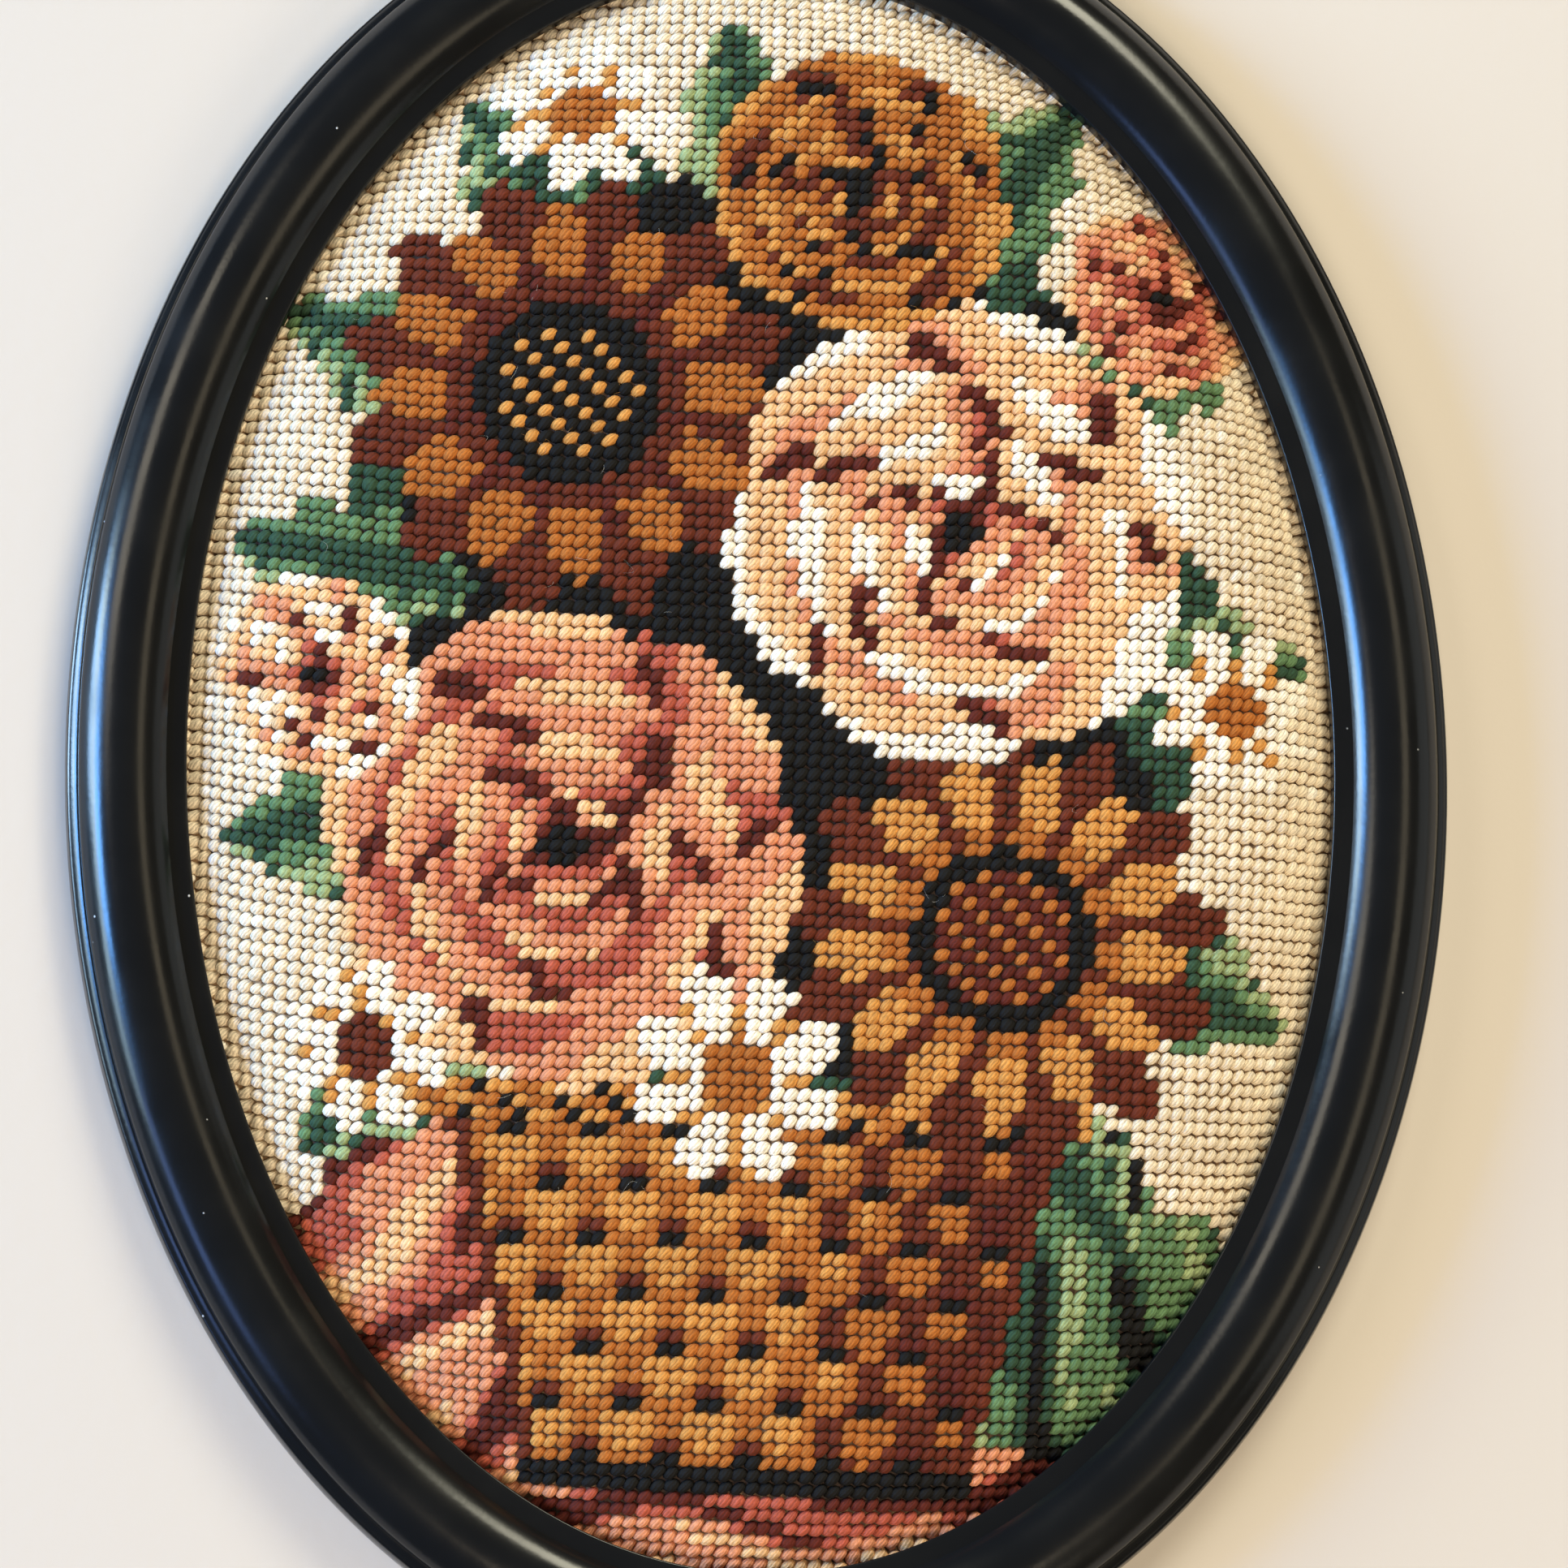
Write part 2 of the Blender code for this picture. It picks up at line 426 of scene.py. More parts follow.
def begin_material(name, **constants):
    """A new material, its node tree and its shader, with the constants set on the shader's own sockets."""
    material = bpy.data.materials.new(name)
    material.use_nodes = True
    tree = material.node_tree
    shader = tree.nodes["Principled BSDF"]
    for key, value in constants.items():
        shader.inputs[key.replace("_", " ")].default_value = value
    return material, tree, shader


def ramp(tree, source, stops, interpolation="LINEAR"):
    """A ramp of greys: stops are (place, grey)."""
    item = add_node(tree, "ShaderNodeValToRGB", inputs={"Fac": source})
    item.color_ramp.interpolation = interpolation
    elements = item.color_ramp.elements
    while len(elements) < len(stops):
        elements.new(0.5)
    for element, (place, grey) in zip(elements, stops):
        element.position = place
        element.color = (grey, grey, grey, 1.0)
    return item.outputs["Color"]


def math_node(tree, operation, first, second):
    return add_node(tree, "ShaderNodeMath", {"operation": operation}, {0: first, 1: second}).outputs["Value"]


def mix(tree, factor, first, second, blend="MIX"):
    """Mixes two colours, each of them three values or a socket."""
    first, second = (value if isinstance(value, bpy.types.NodeSocket) else (*value, 1.0)
                     for value in (first, second))
    item = add_node(tree, "ShaderNodeMix", {"data_type": "RGBA", "blend_type": blend},
                    {0: factor, 6: first, 7: second})
    return item.outputs[2]


def multiply(tree, first, second):
    return mix(tree, 1.0, first, second, "MULTIPLY")


def own_place(tree):
    """Places on the piece itself, in metres."""
    return add_node(tree, "ShaderNodeTexCoord").outputs["Object"]


def cloth_place(tree):
    return add_node(tree, "ShaderNodeUVMap", {"uv_map": "cloth"}).outputs["UV"]


def own_value(tree, name):
    """What a piece's points say under this name."""
    return add_node(tree, "ShaderNodeAttribute", {"attribute_name": name}).outputs["Fac"]


def noise(tree, place, scale, detail, roughness=0.5):
    item = add_node(tree, "ShaderNodeTexNoise", inputs={
        "Vector": place, "Scale": scale, "Detail": detail, "Roughness": roughness})
    return item.outputs["Fac"]


def stretch(tree, place, scale):
    return add_node(tree, "ShaderNodeMapping", inputs={"Vector": place, "Scale": scale}).outputs["Vector"]


def raise_relief(tree, shader, *layers):
    """Bumps laid over each other: a layer is its height, its strength and its depth in metres."""
    below = {}
    for height, strength, depth in layers:
        item = add_node(tree, "ShaderNodeBump", inputs={
            "Strength": strength, "Distance": depth, "Height": height, **below})
        below = {"Normal": item.outputs["Normal"]}
    tree.links.new(item.outputs["Normal"], shader.inputs["Normal"])


# ---------------------------------------------------------------------------------------- moulding


def arc(start, row):
    """Points of one stretch of the section, without its start."""
    begin = Vector((start["inset"], start["level"]))
    end = Vector((row["inset"], row["level"]))
    chord = end - begin
    outward = Vector((-chord.y, chord.x)).normalized()
    bulge = row["bulge"]
    points = []
    for step in range(1, row["steps"] + 1):
        way = step / row["steps"]
        if bulge == 0.0:
            points.append(begin + chord * way)
            continue
        half = chord.length / 2
        radius = (half**2 + bulge**2) / (2 * abs(bulge))
        spread = math.asin(min(half / radius, 1.0))
        turn = spread * (2 * way - 1)
        rise = math.copysign(radius * math.cos(turn) - radius * math.cos(spread), bulge)
        along = (radius * math.sin(turn) + half) / chord.length
        points.append(begin + chord * along + outward * rise)
    return points


def section_points():
    points = [Vector((SECTION_START["inset"], SECTION_START["level"]))]
    start = SECTION_START
    for row in SECTION:
        points += arc(start, row)
        start = row
    return points


def draw_section():
    """The moulding's section as a closed curve, to sweep round the oval."""
    data = bpy.data.curves.new("moulding_section", "CURVE")
    data.dimensions = "2D"
    points = section_points()
    spline = data.splines.new("POLY")
    spline.points.add(len(points) - 1)
    for place, point in zip(spline.points, points):
        place.co = (point.x, point.y, 0.0, 1.0)
    spline.use_cyclic_u = True
    item = bpy.data.objects.new("moulding_section", data)
    bpy.context.scene.collection.objects.link(item)
    return item


def sweep_moulding(settings):
    """The section swept round an oval circle of curve, made a mesh."""
    section = draw_section()
    bpy.ops.curve.primitive_bezier_circle_add(radius=1.0)
    oval = bpy.context.object
    bpy.ops.transform.resize(value=(settings.width / 2, settings.height / 2, 1.0))
    bpy.ops.object.transform_apply(location=False, rotation=False, scale=True)
    bpy.ops.object.mode_set(mode="EDIT")
    bpy.ops.curve.select_all(action="SELECT")
    bpy.ops.curve.radius_set(radius=1.0)
    bpy.ops.object.mode_set(mode="OBJECT")
    oval.data.dimensions = "2D"
    oval.data.fill_mode = "NONE"
    oval.data.resolution_u = settings.steps
    oval.data.bevel_mode = "OBJECT"
    oval.data.bevel_object = section
    bpy.ops.object.convert(target="MESH")
    bpy.data.objects.remove(section, do_unlink=True)
    oval.name = "oval_moulding"
    bpy.ops.object.mode_set(mode="EDIT")
    bpy.ops.mesh.select_all(action="SELECT")
    bpy.ops.mesh.remove_doubles(threshold=SECTION_MERGE)
    bpy.ops.mesh.normals_make_consistent(inside=False)
    bpy.ops.object.mode_set(mode="OBJECT")
    bpy.ops.object.shade_smooth_by_angle(angle=SMOOTH_ANGLE)
    return oval


def paint_moulding(settings):
    """Satin black paint with dust, fine rubs and a slightly uneven gloss."""
    material, tree, shader = begin_material("satin_black_paint", IOR=1.5, Specular_IOR_Level=0.3)
    place = own_place(tree)
    cells = add_node(tree, "ShaderNodeTexVoronoi", {"feature": "F1"}, {"Vector": place, "Scale": 230.0})
    specks = ramp(tree, cells.outputs["Distance"], ((0.0, 1.0), (0.035, 1.0), (0.06, 0.0)))
    chosen = add_node(tree, "ShaderNodeSeparateColor", inputs={"Color": cells.outputs["Color"]})
    few = ramp(tree, chosen.outputs["Red"], ((0.86, 0.0), (0.9, 1.0)))
    dust = multiply(tree, specks, few)
    tree.links.new(mix(tree, dust, settings.paint, settings.dust), shader.inputs["Base Color"])
    gloss = add_node(tree, "ShaderNodeMapRange", inputs={
        "Value": noise(tree, place, 60.0, 6.0), "From Min": 0.3, "From Max": 0.7,
        "To Min": settings.roughness * 0.8, "To Max": settings.roughness * 1.3})
    tree.links.new(gloss.outputs["Result"], shader.inputs["Roughness"])
    raise_relief(tree, shader, (noise(tree, place, 900.0, 3.0), 0.08, 0.0002), (dust, 0.5, 0.0001))
    return material


class NEEDLEPOINT_OT_moulding(bpy.types.Operator):
    """Sweep the oval moulding and paint it"""

    bl_idname = "needlepoint.moulding"
    bl_label = "Oval Moulding"

    def execute(self, context):
        settings = context.scene.needlepoint_moulding
        lay_aside_selection()
        oval = sweep_moulding(settings)
        oval.data.materials.clear()
        oval.data.materials.append(paint_moulding(settings))
        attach(oval, "root")
        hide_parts("frame_moulding")
        return {"FINISHED"}


# ------------------------------------------------------------------------------------------ canvas


class StretchedCanvas:
    """Takes places on the flat canvas to the dome into which it is stretched."""

    def __init__(self):
        shares = np.linspace(0.0, 1.0, DOME_STEPS)
        rises = self.plain_rise(shares)
        climb = np.diff(rises)
        self.shares = shares
        self.across = self.cloth_length(np.diff(shares) * DOME_HALF_WIDTH, climb)
        self.along = self.cloth_length(np.diff(shares) * DOME_HALF_HEIGHT, climb)
        self.flat_half_width = self.across[-1]
        self.flat_half_height = self.along[-1]

    @staticmethod
    def cloth_length(runs, climb):
        return np.concatenate([[0.0], np.cumsum(np.hypot(runs, climb))])

    @staticmethod
    def plain_rise(shares):
        """Height of the dome over its foot, without its ripples, at a share of the way to the foot."""
        distance = (1 - shares) * DOME_HALF_WIDTH
        full = 1 - math.exp(-DOME_HALF_WIDTH / RIM_SOFTNESS)
        rim = RIM_RISE * (1 - np.exp(-distance / RIM_SOFTNESS)) / full
        return rim + CROWN_RISE * (1 - shares**2)

    @staticmethod
    def ripple(shares, turns):
        wave = sum(row["share"] * np.sin(row["turns"] * turns + row["start"]) for row in RIM_RIPPLES)
        distance = (1 - shares) * DOME_HALF_WIDTH
        return RIPPLE * wave * np.sin(math.pi * np.clip(distance / RIPPLE_REACH, 0.0, 1.0))

    def surface(self, across, along):
        """The place on the dome of each place on the flat canvas."""
        reach = np.hypot(across / self.flat_half_width, along / self.flat_half_height)
        turns = np.arctan2(along / self.flat_half_height, across / self.flat_half_width)
        sideways = np.cos(turns) ** 2
        inside = np.minimum(reach, 1.0)
        share_across = np.interp(inside * self.flat_half_width, self.across, self.shares)
        share_along = np.interp(inside * self.flat_half_height, self.along, self.shares)
        shares = share_across * sideways + share_along * (1 - sideways)
        half = self.flat_half_width * sideways + self.flat_half_height * (1 - sideways)
        beyond = np.maximum(reach - 1.0, 0.0) * half
        x = (DOME_HALF_WIDTH * shares + beyond) * np.cos(turns)
        y = (DOME_HALF_HEIGHT * shares + beyond) * np.sin(turns)
        z = CANVAS_TOP + self.plain_rise(shares) + self.ripple(shares, turns)
        return np.stack([x, y, z], axis=-1)

    def lifted(self, across, along, lift):
        """Places at a height over the dome, measured square to it."""
        nudge = 0.0002
        here = self.surface(across, along)
        right = self.surface(across + nudge, along) - self.surface(across - nudge, along)
        up = self.surface(across, along + nudge) - self.surface(across, along - nudge)
        normal = np.cross(right, up)
        normal /= np.linalg.norm(normal, axis=-1, keepdims=True)
        return here + normal * lift[..., None]

    def reach(self, across, along):
        """How far outside the foot of the dome a place on the flat canvas is; negative inside it."""
        share = np.hypot(across / self.flat_half_width, along / self.flat_half_height)
        return (share - 1.0) * self.flat_half_width


def add_mesh(name, points, faces, uv=None, values=None):
    """A mesh object from arrays, with a UV place for each face corner and one value for each point."""
    data = bpy.data.meshes.new(name)
    data.from_pydata(points.tolist(), [], [list(face) for face in faces])
    if uv is not None:
        layer = data.uv_layers.new(name="cloth")
        layer.data.foreach_set("uv", np.asarray(uv, dtype=np.float32).ravel())
    for key, numbers in (values or {}).items():
        attribute = data.attributes.new(key, "FLOAT", "POINT")
        attribute.data.foreach_set("value", np.asarray(numbers, dtype=np.float32))
    data.update()
    item = bpy.data.objects.new(name, data)
    bpy.context.scene.collection.objects.link(item)
    return item


def make_canvas_sheet(cloth, settings, drift):
    """The bare canvas: rings from its middle to its cut edge, thickened downwards."""
    edge = 1.0 + settings.margin / cloth.flat_half_width
    reach = edge * (1 - (1 - np.linspace(0.0, 1.0, CANVAS_RINGS)) ** RING_CROWDING)
    turns = np.linspace(0.0, 2 * math.pi, CANVAS_STEPS, endpoint=False)
    across = cloth.flat_half_width * reach[1:, None] * np.cos(turns)
    along = cloth.flat_half_height * reach[1:, None] * np.sin(turns)
    flat = np.concatenate([[[0.0, 0.0]], np.stack([across.ravel(), along.ravel()], axis=-1)])
    points = cloth.lifted(flat[:, 0], flat[:, 1], np.full(len(flat), -settings.depth))
    faces = []
    for here in range(CANVAS_STEPS):
        after = (here + 1) % CANVAS_STEPS
        faces.append((0, 1 + here, 1 + after))
        for ring in range(CANVAS_RINGS - 2):
            near = 1 + ring * CANVAS_STEPS
            far = near + CANVAS_STEPS
            faces.append((near + here, far + here, far + after, near + after))
    corners = np.concatenate([np.asarray(face) for face in faces])
    threads = flat / settings.mesh
    threads = threads - wander(threads, drift)
    dark = np.array([1.0 - max(row["colour"]) / 255 for row in YARNS])
    dye = dark[work_picture(threads[:, 0] * settings.mesh, threads[:, 1] * settings.mesh)]
    sheet = add_mesh("bare_canvas", points, faces, uv=threads[corners], values={"dye": dye})
    lay_aside_selection()
    sheet.select_set(True)
    bpy.context.view_layer.objects.active = sheet
    bpy.ops.object.shade_smooth()
    thickness = sheet.modifiers.new("thickness", "SOLIDIFY")
    thickness.thickness = settings.thickness
    thickness.offset = -1.0
    bpy.ops.object.modifier_apply(modifier="thickness")
    return sheet


def finish_canvas(settings):
    """Cotton canvas: rounded threads, with painted shade in the holes where four threads leave a gap."""
    material, tree, shader = begin_material("cotton_canvas", Roughness=0.9)
    flat = cloth_place(tree)
    parts = add_node(tree, "ShaderNodeSeparateXYZ", inputs={"Vector": flat})
    from_column = math_node(tree, "PINGPONG", parts.outputs["X"], 0.5)
    from_row = math_node(tree, "PINGPONG", parts.outputs["Y"], 0.5)
    from_hole = math_node(tree, "MAXIMUM", from_column, from_row)
    thread = ramp(tree, from_hole, ((0.10, 0.0), (0.30, 1.0)), "EASE")
    fibres = noise(tree, flat, 9.0, 4.0)
    # Each thread shades off into the painted shade of the holes.
    shaded = mix(tree, thread, settings.hole_shade, settings.thread)
    dark = ramp(tree, own_value(tree, "dye"), ((0.12, 0.0), (0.55, 1.0)))
    dyed = mix(tree, dark, shaded, settings.dyed)
    varied = ramp(tree, fibres, ((0.3, 0.75), (0.7, 1.0)))
    tree.links.new(multiply(tree, dyed, varied), shader.inputs["Base Color"])
    raise_relief(tree, shader, (thread, 0.8, 0.0004), (fibres, 0.3, 0.0002))
    return material


class NEEDLEPOINT_OT_canvas(bpy.types.Operator):
    """Stretch the bare canvas into its dome"""

    bl_idname = "needlepoint.canvas"
    bl_label = "Bare Canvas"

    def execute(self, context):
        settings = context.scene.needlepoint_canvas
        drift = context.scene.needlepoint_stitches.drift
        sheet = make_canvas_sheet(StretchedCanvas(), settings, drift)
        sheet.data.materials.append(finish_canvas(settings))
        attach(sheet, "root")
        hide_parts("needlepoint_canvas")
        return {"FINISHED"}


# ----------------------------------------------------------------------------------------- picture


def turned(x, y, row):
    """Places measured along a motif's own axes."""
    heading = math.radians(row.get("turn", 0.0))
    ahead = (x - row["x"]) * math.cos(heading) + (y - row["y"]) * math.sin(heading)
    aside = -(x - row["x"]) * math.sin(heading) + (y - row["y"]) * math.cos(heading)
    return ahead, aside


def paint(chart, where, name):
    chart[where] = YARN_NAMES.index(name)


def paint_steps(chart, where, depth, shades):
    """Paints bands of shade: at each place the depth, from 0 up, picks one of them."""
    step = np.clip(depth.astype(int), 0, len(shades) - 1)
    for index, name in enumerate(shades):
        paint(chart, where & (step == index), name)


def lobed_patch(ahead, aside, row, lobes):
    """Places inside an oval with a ragged, lobed edge."""
    coarse, fine = lobes
    right, up = ahead / row["across"], aside / row["along"]
    around = np.arctan2(up, right)
    edge = 1.0 + coarse * np.sin(row["lobes"] * around)
    edge = edge + fine * np.sin(FINE_LOBES * row["lobes"] * around + 1.0)
    return np.hypot(right, up) < edge


def petal_ridges(ahead, aside, petals, offset=0.0):
    """How far each place is from the ridge of its petal: 0 on the ridge, 1 between two petals."""
    around = np.arctan2(aside, ahead) / (2 * math.pi) * petals
    return np.abs((around + offset) % 1.0 - 0.5) * 2


def work_shade(chart, x, y, row):
    """A patch of plain shade."""
    paint(chart, lobed_patch(*turned(x, y, row), row, SHADE_LOBES), row["yarn"])


def work_folds(chart, x, y, row):
    """A patch of draped cloth, in bands of shade that run along its folds."""
    ahead, aside = turned(x, y, row)
    patch = lobed_patch(ahead, aside, row, FOLDS_LOBES)
    folds = 2 * math.pi * aside / row["fold"]
    for bend in FOLD_BENDS:
        folds = folds + bend["strength"] * np.sin(bend["along"] * ahead + bend["across"] * aside)
    creases = CREASES_TO_A_FOLD * folds + CREASE_DRIFT * ahead
    depth = FOLD_MIDDLE + FOLD_DEPTH * np.sin(folds) + CREASE_DEPTH * np.sin(creases)
    paint_steps(chart, patch, depth * len(row["shades"]), row["shades"])


def work_leaf(chart, x, y, row):
    """A bent leaf with a serrated edge, a light side and a dark side, and veins."""
    roundness, taper, teeth, tooth = 0.75, 0.25, 22, 0.12
    veins, vein_lean, vein, veins_end, midrib = 7, 2.4, 0.2, 0.85, 0.0014
    ahead, aside = turned(x, y, row)
    way = ahead / row["length"]
    aside = aside - row["bend"] * row["length"] * way * (1 - way)
    half = row["width"] / 2 * np.sin(math.pi * np.clip(way, 0.0, 1.0)) ** roundness * (1 - taper * way)
    inside = (way > 0) & (way < 1) & (np.abs(aside) < half * (1 + tooth * np.sign(np.sin(teeth * way))))
    light, middle, dark = LEAF_GREENS
    outer = np.abs(aside) > 0.5 * half
    upper = aside > 0
    paint(chart, inside & upper & outer, light)
    paint(chart, inside & (upper ^ outer), middle)
    paint(chart, inside & ~upper & ~outer, dark)
    from_vein = (veins * way + vein_lean * np.abs(aside) / row["width"]) % 1.0
    side_veins = (from_vein < vein) & upper & (way < veins_end)
    paint(chart, inside & (side_veins | (np.abs(aside) < midrib)), dark)


def work_basket(chart, x, y, row):
    """A wicker basket: blocks that go over and under, a plaited rim and a dark foot."""
    flat_of_block, edge_of_block = 0.16, 0.34
    side_shade, under_shade, round_shade, least_shade = 1.7, 1.6, 1.5, 0.35
    plait_width, plait_slant, foot_height = 0.0105, 1.2, 0.005
    from_axis = x - row["x"]
    height = (y - row["foot"]) / (row["top"] - row["foot"])
    half = row["foot_half"] + (row["top_half"] - row["foot_half"]) * height
    body = (height > 0) & (height < 1) & (np.abs(from_axis) < half)
    level = (y - row["foot"]) / row["level"]
    column = from_axis / row["column"] + 0.5 * (np.floor(level) % 2)
    from_middle = np.abs(column % 1.0 - 0.5)
    over = side_shade * np.clip((from_middle - flat_of_block) / edge_of_block, 0.0, 1.0)
    over = over + under_shade * np.clip(0.5 - level % 1.0, 0.0, 0.5)
    turn_away = np.clip(from_axis / half + 0.15, 0.0, 1.0) ** 1.5
    paint_steps(chart, body, over + round_shade * turn_away + least_shade, WICKER)
    paint(chart, body & (level % 1.0 < 0.25) & (from_middle > 0.30), "black")
    paint(chart, body & (np.abs(from_axis) > half * 0.94), "rust")
    band = (y > row["top"]) & (y < row["top"] + row["rim"]) & (np.abs(from_axis) < row["top_half"] * 1.08)
    plait = ((from_axis + plait_slant * (y - row["top"])) / plait_width) % 1.0
    paint(chart, band, "ochre")
    paint(chart, band & (plait < 0.45), "gold")
    paint(chart, band & (plait > 0.8), "black")
    foot = (y < row["foot"]) & (y > row["foot"] - foot_height) & (np.abs(from_axis) < row["foot_half"] * 1.05)
    paint(chart, foot, "black")


def work_sunflower(chart, x, y, row):
    """Two layers of pointed petals round a seeded disc."""
    point, tip_start, parting = 0.34, 0.62, 0.72
    rim_of_disc, middle_of_disc, seed_pitch = 0.40, 0.31, 0.00254
    ahead, aside = turned(x, y, row)
    radius = np.hypot(ahead, aside) / row["size"]
    for reach, offset, shades in ((1.0, 0.5, row["back"]), (0.84, 0.0, row["front"])):
        from_ridge = petal_ridges(ahead, aside, row["petals"], offset)
        petal = radius < reach * (1 - point * from_ridge**1.6)
        tip = radius > tip_start * reach
        paint(chart, petal & tip, shades[0])
        paint(chart, petal & ~tip, shades[1])
        paint(chart, petal & (from_ridge > parting), shades[2])
    paint(chart, radius < rim_of_disc, row["disc"][0])
    paint(chart, radius < middle_of_disc, row["disc"][1])
    seeds = (np.floor(x / seed_pitch) + np.floor(y / seed_pitch)) % 3 == 0
    paint(chart, (radius < middle_of_disc) & seeds, row["disc"][2])


def work_rose(chart, x, y, row):
    """Rings of petals that lie over each other, each light at its rim and dark at its foot."""
    broad, curl, slope, lightest, shade_depth = 1.25, 0.25, 0.15, 1.08, 0.36
    rim, rim_end = 0.86, 0.35
    ahead, aside = turned(x, y, row)
    size = row["size"]
    shades = row["shades"]
    for ring in ROSE_RINGS:
        petal_size = ring["size"] * size
        if petal_size < SMALLEST_PETAL:
            break
        for petal in range(ring["petals"]):
            heading = 2 * math.pi * (petal + ring["start"]) / ring["petals"]
            centre = size * (ring["reach"] - ring["size"])
            off_x = ahead - centre * math.cos(heading)
            off_y = aside - centre * math.sin(heading)
            outward = (off_x * math.cos(heading) + off_y * math.sin(heading)) / petal_size
            sideways = (-off_x * math.sin(heading) + off_y * math.cos(heading)) / (broad * petal_size)
            radius = np.hypot(outward, sideways)
            light = outward + curl * np.cos(3 * sideways + petal) - slope * (ahead + aside) / size
            paint_steps(chart, radius < 1, (lightest - light) / shade_depth, shades)
            paint(chart, (radius < 1) & (radius > rim) & (outward < rim_end), shades[-1])
    paint(chart, np.hypot(ahead, aside) < ROSE_HEART * size, "black")


def work_daisy(chart, x, y, row):
    """White petals parted by gold, round a plain heart."""
    point, parting, heart = 0.42, 0.75, 0.34
    ahead, aside = turned(x, y, row)
    radius = np.hypot(ahead, aside) / row["size"]
    from_ridge = petal_ridges(ahead, aside, row["petals"])
    petal = radius < 1 - point * from_ridge**2
    paint(chart, petal, "white")
    paint(chart, petal & (from_ridge > parting), "gold")
    paint(chart, radius < heart, row["heart"])


MOTIFS = (
    (work_shade, SHADES),
    (work_folds, FOLDS),
    (work_leaf, LEAVES),
    (work_basket, BASKETS),
    (work_sunflower, SUNFLOWERS),
    (work_rose, ROSES),
    (work_daisy, DAISIES),
)


def work_picture(x, y):
    """The number of the yarn at each place of the flat canvas."""
    chart = np.full(x.shape, YARN_NAMES.index(GROUND))
    for work, rows in MOTIFS:
        for row in rows:
            work(chart, x, y, row)
    return chart


# ---------------------------------------------------------------------------------------- stitches


def stitch_cells(cloth, canvas, settings):
    """Lower left corners of all the cells that are worked, counted in threads from the middle."""
    columns = int(cloth.flat_half_width / canvas.mesh) + SPARE_COLUMNS
    rows = int(cloth.flat_half_height / canvas.mesh) + SPARE_ROWS
    across, along = np.meshgrid(np.arange(-columns, columns), np.arange(-rows, rows))
    cells = np.stack([across.ravel(), along.ravel()], axis=-1)
    middle = cells + 0.5
    place = (middle + wander(middle, settings.drift)) * canvas.mesh
    worked = cloth.reach(place[:, 0], place[:, 1]) < settings.under_lip
    return cells[worked]


def slow_waves(x, y, waves):
    return sum(wave["strength"] * np.sin(wave["x"] * x + wave["y"] * y + wave["start"]) for wave in waves)


def wander(cells, share_of_mesh):
    """How far the threads have strayed at each place, counted in threads.

    The canvas is turned a little, dragged up along its left side and pulled into slow waves.
    """
    x, y = cells[..., 0], cells[..., 1]
    dragged = DRAG * np.maximum(-DRAG_START - x, 0.0) ** 2
    waves = np.stack([slow_waves(x, y, WAVES_ASIDE), slow_waves(x, y, WAVES_AHEAD)], axis=-1)
    strained = np.stack([MESH_TURN * y, dragged - MESH_TURN * x], axis=-1)
    return share_of_mesh * waves / STRONGEST_WAVE + strained


def stitch_template():
    """Shares along the stitch and places round its section, for one stitch, and its faces."""
    around = len(STITCH_SECTION)
    along = [0.0]
    section = [(0.0, 0.0)]
    for ring in STITCH_RINGS:
        along += [ring] * around
        section += STITCH_SECTION
    along.append(1.0)
    section.append((0.0, 0.0))
    faces = []
    last = len(along) - 1
    for side in range(around):
        beside = (side + 1) % around
        faces.append((0, 1 + side, 1 + beside))
        for ring in range(len(STITCH_RINGS) - 1):
            near = 1 + ring * around
            far = near + around
            faces.append((near + side, far + side, far + beside, near + beside))
        final = last - around
        faces.append((final + side, last, final + beside))
    return np.array(along), np.array(section), faces


def stitch_points(cloth, canvas, settings, cells, chance):
    """Points of every stitch, one stitch to a row, and how near its crest each point of a stitch is."""
    along, section, _ = stitch_template()
    count = len(cells)
    uneven = settings.unevenness
    jitter = chance.normal(0.0, 1.0, (count, 6))
    foot = cells + np.array(STITCH_FOOT) + uneven * UNEVEN_ENDS * jitter[:, 0:2]
    head = cells + np.array(STITCH_HEAD) + uneven * UNEVEN_ENDS * jitter[:, 2:4]
    lean = head - foot
    side = np.array(STITCH_CUT) + uneven * UNEVEN_CUT * chance.normal(0.0, 1.0, (count, 2))
    plump = np.maximum(1 - np.abs(2 * along**FULLEST - 1) ** SQUARENESS, 0.0) ** ROUNDNESS
    half = settings.width / 2 * (1 + uneven * jitter[:, 4])
    wide = half[:, None] * plump * section[:, 0]
    path = foot[:, None, :] + lean[:, None, :] * along[:, None] + side[:, None, :] * wide[..., None]
    path = path + wander(path, settings.drift)
    dive = settings.dive * np.abs(2 * along - 1) ** DIVE_POWER
    tall = settings.height * (1 + uneven * UNEVEN_HEIGHT * jitter[:, 5])
    lift = tall[:, None] * plump * section[:, 1] - dive - canvas.depth
    flat = path * canvas.mesh
    return cloth.lifted(flat[..., 0], flat[..., 1], lift), plump * section[:, 1]


